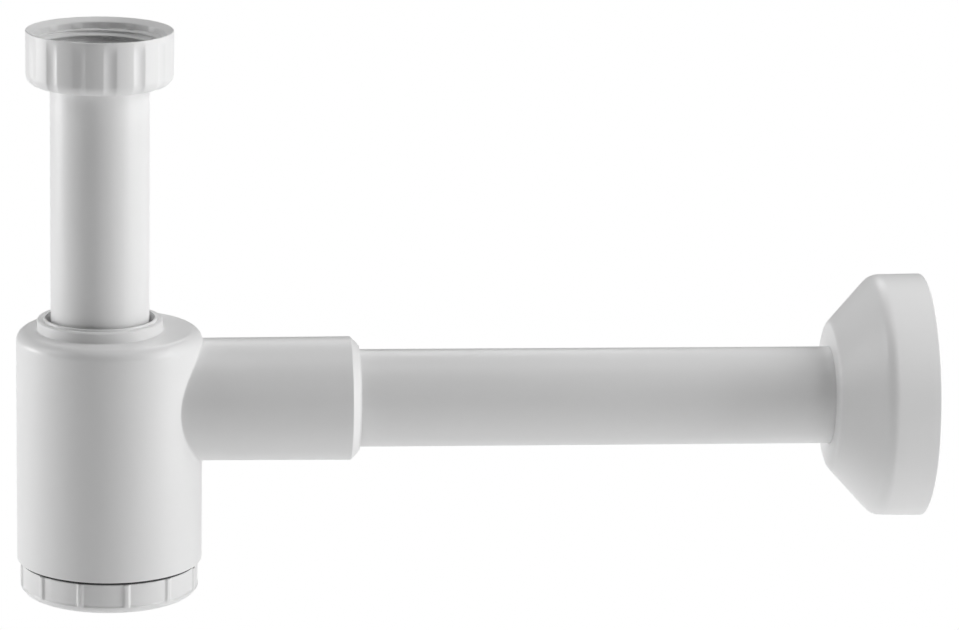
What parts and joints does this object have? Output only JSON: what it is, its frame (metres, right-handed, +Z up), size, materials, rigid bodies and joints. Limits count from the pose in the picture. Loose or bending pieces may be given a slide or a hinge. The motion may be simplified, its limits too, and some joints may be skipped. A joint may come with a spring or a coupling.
{
  "type": "basin trap",
  "caption": "Plastic bottle trap for a washbasin: union nut and sliding inlet tube on top, horizontal outlet tube with wall rosette, screwed cleaning cap underneath.",
  "frame": {"origin": "centre of the union washer's seating face inside the nut, on the inlet tube's axis", "axes": "+Z up along the inlet tube and out of the nut's mouth, +X along the outlet tube towards the wall"},
  "size_m": [0.298, 0.08, 0.1872],
  "materials": {
    "moulded_plastic": "satin white injection moulding",
    "tube_plastic": "smooth white extruded tube",
    "rosette_plastic": "satin white thin moulding",
    "black_rubber": "matt black"
  },
  "bodies": {
    "union_nut": {"union_nut": "moulded_plastic"},
    "union_washer": {"union_washer": "black_rubber"},
    "inlet_tube": {"inlet_tube": "tube_plastic"},
    "inlet_seal": {"inlet_seal": "black_rubber"},
    "trap_body": {"trap_body": "moulded_plastic", "inlet_seal_retainer": "moulded_plastic", "outlet_seal_retainer": "moulded_plastic"},
    "outlet_seal": {"outlet_seal": "black_rubber"},
    "outlet_tube": {"outlet_tube": "tube_plastic"},
    "wall_rosette": {"wall_rosette": "rosette_plastic"},
    "cap_gasket": {"cap_gasket": "black_rubber"},
    "cleaning_cap": {"cleaning_cap": "moulded_plastic"}
  },
  "joints": [
    {"name": "nut_slide", "type": "slide", "parent": "union_nut", "child": "union_washer", "axis": [0, 0, 1], "range_m": [0, 0.035]},
    {"name": "nut_turn", "type": "hinge", "parent": "union_washer", "child": "inlet_tube", "pos_m": [0, 0, -0.002], "axis": [0, 0, 1], "continuous": true},
    {"name": "height_slide", "type": "slide", "parent": "inlet_tube", "child": "inlet_seal", "axis": [0, 0, 1], "range_m": [-0.015, 0.04]},
    {"name": "body_turn", "type": "hinge", "parent": "inlet_seal", "child": "trap_body", "pos_m": [0, 0, -0.0915], "axis": [0, 0, 1], "continuous": true},
    {"name": "outlet_turn", "type": "hinge", "parent": "trap_body", "child": "outlet_seal", "pos_m": [0.078, 0, -0.1117], "axis": [1, 0, 0], "continuous": true},
    {"name": "outlet_slide", "type": "slide", "parent": "outlet_seal", "child": "outlet_tube", "axis": [1, 0, 0], "range_m": [-0.016, 0.008]},
    {"name": "rosette_slide", "type": "slide", "parent": "outlet_tube", "child": "wall_rosette", "axis": [1, 0, 0], "range_m": [-0.13, 0.008]},
    {"name": "cap_lift", "type": "slide", "parent": "trap_body", "child": "cap_gasket", "axis": [0, 0, -1], "range_m": [0, 0.0075]},
    {"name": "cap_turn", "type": "hinge", "parent": "cap_gasket", "child": "cleaning_cap", "pos_m": [0.003, 0, -0.166], "axis": [0, 0, 1], "range_deg": [-900, 0]}
  ],
  "couplings": [
    {"joint": "cap_lift", "follows": "cap_turn", "m_per_rad": -0.00047746}
  ]
}
